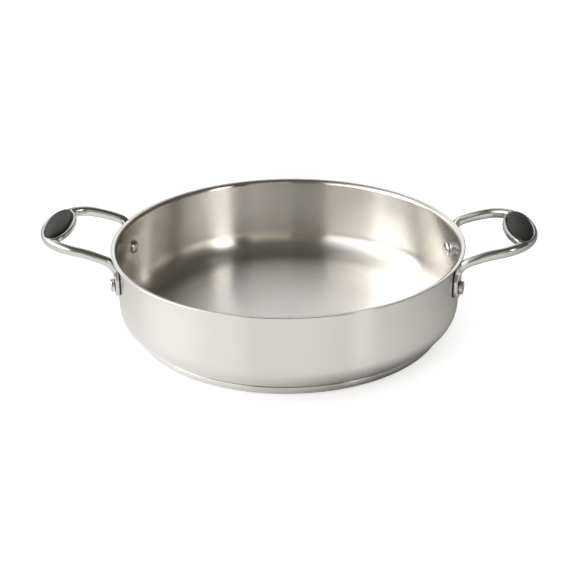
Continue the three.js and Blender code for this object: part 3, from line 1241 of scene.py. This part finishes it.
@dataclass
class HandleSet:
    """Both handles with their inserts and rivets. Each is modelled once and copied to its places."""

    handle: Handle
    rivet: Rivet = field(init=False)

    def __post_init__(self) -> None:
        """Give the rivet the handle's sizes."""
        self.rivet = Rivet(self.handle)

    def build(self, steel: Material, grip: Material) -> None:
        """Model the pieces of the right side, copy them to the left and dress them all.

        Args:
            steel: Finish of the handles and the rivets.
            grip: Finish of the inserts.
        """
        masters = {
            "handle": (self.handle.cast("handle_master"), Slot.POLISHED_STEEL, steel),
            "grip_insert": (self.handle.insert("insert_master"), Slot.SOFT_INSERT, grip),
        }
        rivet = self.rivet.build()
        angle = self.handle.rivet_angle
        ends = {Side.RIGHT: ("rear", "front"), Side.LEFT: ("front", "rear")}
        for side in Side:
            turn = Matrix.Rotation(side.value, 4, "Z")
            word = side.name.lower()
            for node, (master, slot, finish) in masters.items():
                piece = moved(copied(master, f"dressed_{node}_{word}"), turn)
                settle(piece, f"{node}_{word}", finish)
            for end, place in zip(ends[side], (angle, -angle)):
                piece = copied(rivet, f"dressed_rivet_{word}_{end}")
                moved(piece, turn @ self.handle.rivet_place(place))
                settle(piece, f"rivet_{word}_{end}", steel)
        for master in [rivet, *(m for m, _, _ in masters.values())]:
            select(master)
            bpy.ops.object.delete()


@dataclass(frozen=True)
class PhotoCamera:
    """Camera at the photograph's viewing angle. Pixels count in the photograph's square frame."""

    distance: float = 1.1
    elevation: float = math.radians(23.06)
    turn: float = math.radians(2.645)
    roll: float = math.radians(-0.74)
    focal_pixels: float = 1343.9
    rim_pixel: Pair = (288.5, 240.0)
    frame_pixels: float = 580.0
    sensor_mm: float = 36.0
    clip_start: float = 0.01

    def place(self, rim_height: float) -> None:
        """Add the camera and aim it so that the middle of the rim falls on its pixel.

        Args:
            rim_height: Height of the pan's rim.
        """
        level = math.cos(self.elevation)
        back = Vector((math.sin(self.turn) * level, -math.cos(self.turn) * level, math.sin(self.elevation)))
        forward = -back
        right = forward.cross(Vector((0, 0, 1))).normalized()
        up = right.cross(forward)
        middle = self.frame_pixels / 2
        yaw = math.atan2(self.rim_pixel[0] - middle, self.focal_pixels)
        pitch = math.atan2(self.rim_pixel[1] - middle, self.focal_pixels)
        aim = forward * math.cos(yaw) - right * math.sin(yaw)
        right = right * math.cos(yaw) + forward * math.sin(yaw)
        aim, up = (
            aim * math.cos(pitch) + up * math.sin(pitch),
            up * math.cos(pitch) - aim * math.sin(pitch),
        )
        right, up = (
            right * math.cos(self.roll) + up * math.sin(self.roll),
            up * math.cos(self.roll) - right * math.sin(self.roll),
        )
        deselect()
        bpy.ops.object.camera_add()
        camera = bpy.context.object
        turn = Matrix((right, up, -aim)).transposed().to_4x4()
        camera.matrix_world = Matrix.Translation(Vector((0, 0, rim_height)) + back * self.distance) @ turn
        camera.data.sensor_width = self.sensor_mm
        camera.data.lens = self.focal_pixels * self.sensor_mm / self.frame_pixels
        camera.data.clip_start = self.clip_start
        bpy.context.scene.camera = camera


# Light of the walls and windows that metal sees, by the share of the way round the pan
ROOM_LIGHT: Stops = (
    (0.000, (1.60, 1.58, 1.54)),
    (0.012, (1.50, 1.48, 1.44)),
    (0.022, (0.75, 0.74, 0.73)),
    (0.040, (0.79, 0.78, 0.77)),
    (0.060, (1.35, 1.33, 1.30)),
    (0.140, (1.80, 1.78, 1.74)),
    (0.195, (1.50, 1.49, 1.46)),
    (0.225, (6.00, 5.94, 5.81)),
    (0.270, (7.00, 6.92, 6.74)),
    (0.310, (5.90, 5.79, 5.58)),
    (0.340, (3.90, 3.82, 3.65)),
    (0.365, (3.05, 2.95, 2.78)),
    (0.403, (2.25, 2.15, 1.96)),
    (0.425, (1.95, 1.85, 1.66)),
    (0.435, (0.24, 0.205, 0.15)),
    (0.500, (0.24, 0.205, 0.15)),
    (0.505, (0.62, 0.565, 0.46)),
    (0.583, (0.62, 0.565, 0.46)),
    (0.588, (0.03, 0.026, 0.02)),
    (0.620, (0.03, 0.026, 0.02)),
    (0.628, (4.30, 4.19, 3.97)),
    (0.652, (4.30, 4.19, 3.97)),
    (0.668, (0.60, 0.56, 0.50)),
    (0.686, (0.26, 0.24, 0.20)),
    (0.714, (0.16, 0.145, 0.12)),
    (0.790, (0.07, 0.062, 0.05)),
    (0.945, (0.16, 0.145, 0.12)),
    (0.965, (0.46, 0.45, 0.44)),
    (0.978, (0.50, 0.49, 0.48)),
    (0.988, (0.93, 0.92, 0.89)),
    (1.000, (1.60, 1.58, 1.54)),
)

# Light of the ceiling that metal sees, from its edge to right above
CEILING_LIGHT: Stops = (
    (0.0, (0.27, 0.252, 0.225)),
    (0.3, (0.24, 0.23, 0.21)),
    (0.7, (0.12, 0.118, 0.112)),
)

# Light of the floor that metal sees, far from the base and close to it, by the same share. Both hold
# painted light and shadow: far out it is darker on the right, and close to the base a painted shadow lies
# at the back and on the right.
FAR_FLOOR_LIGHT: Stops = (
    (0.00, (1.00, 0.99, 0.97)),
    (0.05, (0.80, 0.79, 0.77)),
    (0.12, (0.56, 0.55, 0.53)),
    (0.20, (0.84, 0.83, 0.81)),
    (0.30, (1.10, 1.09, 1.06)),
    (0.39, (1.04, 1.03, 1.00)),
    (0.50, (1.04, 1.03, 1.00)),
    (0.62, (0.93, 0.92, 0.89)),
    (0.70, (0.71, 0.70, 0.67)),
    (0.76, (0.50, 0.49, 0.46)),
    (0.82, (0.28, 0.27, 0.25)),
    (0.93, (0.28, 0.27, 0.25)),
    (0.96, (0.90, 0.89, 0.87)),
    (1.00, (1.00, 0.99, 0.97)),
)
NEAR_FLOOR_LIGHT: Stops = (
    (0.00, (0.12, 0.12, 0.11)),
    (0.15, (1.15, 1.14, 1.12)),
    (0.35, (1.15, 1.14, 1.12)),
    (0.44, (0.92, 0.91, 0.89)),
    (0.50, (0.60, 0.59, 0.57)),
    (0.55, (0.30, 0.29, 0.28)),
    (0.60, (0.12, 0.12, 0.11)),
    (1.00, (0.12, 0.12, 0.11)),
)


@dataclass(frozen=True)
class FloorPaint(Finish):
    """Pale paint that keeps the pan's soft shadow and is white to the camera elsewhere.

    Metal sees it as painted light and shadow of its own, and from below it is clear.
    """

    colour: Colour = (0.8, 0.8, 0.8)
    glow: float = 0.6
    base_radius: float = 0.128
    shade_width: float = 0.05

    def mirrored(self, board: NodeBoard) -> Socket:
        """Floor that metal sees, painted light and shadow close to the base and further out."""
        parts = board.parts(board.place())
        turn = board.turn(parts)
        fade = board.span(board.away(parts), (self.base_radius, self.base_radius + self.shade_width))
        return board.blend(fade, board.ramp(turn, NEAR_FLOOR_LIGHT), board.ramp(turn, FAR_FLOOR_LIGHT))

    def shader(self, board: NodeBoard) -> Node:
        """Matt paint that glows to the camera alone, and the mirrored floor for metal."""
        path = board.node("LightPath").outputs
        matt = board.node("BsdfDiffuse", {"Color": (*self.colour, 1)})
        lift = board.math("MULTIPLY", path["Is Camera Ray"], self.glow)
        glow = board.node("Emission", {"Strength": lift})
        pale = board.node("AddShader", {0: matt.outputs[0], 1: glow.outputs[0]})
        mirrored = board.node("Emission", {"Color": self.mirrored(board)})
        seen = board.either(path["Is Glossy Ray"], pale, mirrored)
        behind = board.node("NewGeometry").outputs["Backfacing"]
        return board.either(behind, seen, board.node("BsdfTransparent"))


@dataclass(frozen=True)
class Lamp:
    """Soft rectangular lamp that is aimed at the pan. Metal sees the room in its place."""

    name: str
    place: tuple[float, float, float]
    size: Pair
    power: float

    def build(self) -> None:
        """Add the lamp."""
        deselect()
        bpy.ops.object.light_add(type="AREA", location=self.place)
        lamp = bpy.context.object
        lamp.name = self.name
        lamp.rotation_euler = (-Vector(self.place)).to_track_quat("-Z", "Y").to_euler()
        lamp.data.shape = "RECTANGLE"
        lamp.data.size, lamp.data.size_y = self.size
        lamp.data.energy = self.power
        lamp.visible_glossy = False


@dataclass(frozen=True)
class Studio:
    """Pale floor, soft lamps and a world that is white behind the pan.

    The limits of the room that metal sees are parts of a direction of length one.
    """

    lamps: tuple[Lamp, ...] = (
        Lamp("window", place=(-1.3, 0.5, 0.9), size=(1.2, 1.0), power=4.0),
        Lamp("overhead", place=(0.0, 0.1, 1.5), size=(1.4, 1.0), power=5.0),
    )
    ambient: float = 0.6
    floor_size: float = 12.0
    floor_drop: float = 0.2 * MM
    ceiling_pull: Pair = (1.10, 1.32)
    ceiling_edge: Pair = (0.66, 0.80)
    ceiling_range: Pair = (0.65, 1.05)
    dark_roof: Colour = (0.02, 0.019, 0.016)
    dark_roof_range: Pair = (0.0, 0.7)
    dark_roof_rest: float = 0.45
    tall_light: Colour = (1.05, 1.035, 0.985)
    tall_edge: Pair = (-0.25, -0.5)
    horizon_colour: Colour = (0.06, 0.058, 0.052)
    horizon_edge: Pair = (0.02, 0.10)
    horizon_back: float = 0.18
    horizon_right: float = 0.12

    def build(self) -> None:
        """Set the view transform, the world, the floor and the lamps."""
        bpy.context.scene.view_settings.view_transform = "Standard"
        self.world()
        self.floor()
        for lamp in self.lamps:
            lamp.build()

    def room(self, board: NodeBoard) -> Socket:
        """Room that metal sees: walls and windows, a ceiling, a tall light on the left, a dark horizon.

        Args:
            board: Node tree of the world.

        Returns:
            The colour in each direction.
        """
        parts = board.parts(board.node("TexCoord").outputs["Generated"])
        x, y, z = parts
        walls = board.ramp(board.turn(parts), ROOM_LIGHT)
        pull = board.span(board.math("ABSOLUTE", y), (0.0, 1.0), self.ceiling_pull)
        reach = board.math("MULTIPLY", z, pull)
        high = board.ramp(board.span(reach, self.ceiling_range), CEILING_LIGHT)
        rest = board.span(x, self.dark_roof_range, (1.0, self.dark_roof_rest))
        roof = board.blend(rest, self.dark_roof, high)
        lit = board.blend(board.span(x, self.tall_edge), roof, self.tall_light)
        sky = board.blend(board.span(reach, self.ceiling_edge), walls, lit)
        rise = board.math(
            "ADD", board.span(y, (-1.0, 1.0), (0.0, self.horizon_back)),
            board.span(x, (0.0, 1.0), (0.0, self.horizon_right)))
        climb = board.span(board.math("SUBTRACT", z, rise), self.horizon_edge)
        return board.blend(climb, self.horizon_colour, sky)

    def world(self) -> None:
        """White for the camera, the room for metal, and even light for all else."""
        world = bpy.data.worlds.new("studio")
        bpy.context.scene.world = world
        world.use_nodes = True
        board = NodeBoard(world.node_tree)
        path = board.node("LightPath").outputs
        room = board.node("Background", {"Color": self.room(board)})
        white = board.node("Background", {"Color": WHITE, "Strength": 1.0})
        even = board.node("Background", {"Color": WHITE, "Strength": self.ambient})
        light = board.either(path["Is Glossy Ray"], even, room)
        seen = board.math("MAXIMUM", path["Is Camera Ray"], path["Is Transmission Ray"])
        final = board.either(seen, light, white)
        board.node("OutputWorld", {"Surface": final.outputs[0]})

    def floor(self) -> None:
        """Lay the floor just under the pan."""
        deselect()
        bpy.ops.mesh.primitive_plane_add(size=self.floor_size, location=(0, 0, -self.floor_drop))
        floor = bpy.context.object
        floor.name = "floor"
        floor.data.materials.append(FloorPaint("floor_paint").material())


def main() -> None:
    """Build the pan piece by piece, then the studio and the camera."""
    logging.basicConfig(level=logging.INFO, format="%(name)s: %(message)s")
    sizes = PanSizes.from_frame()
    satin = TurnedSteel(
        "satin_turned_steel", satin_share=0.95, polished_above=sizes.lip_height).material()
    cap_satin = TurnedSteel("satin_cap_steel", roughness=0.24).material()
    polished = PolishedSteel("polished_cast_steel", sizes.radius, sizes.rim_height).material()
    soft = SoftGrip("soft_charcoal").material()
    core = TurnedSteel("matt_core_aluminium", colour=(0.7, 0.7, 0.71), roughness=0.5).material()
    handle = Handle(sizes)
    Shell(sizes, handle).build(satin)
    Base(sizes).build(cap_satin, core)
    HandleSet(handle).build(polished, soft)
    Studio().build()
    PhotoCamera().place(sizes.rim_height)


if __name__ == "__main__":
    main()
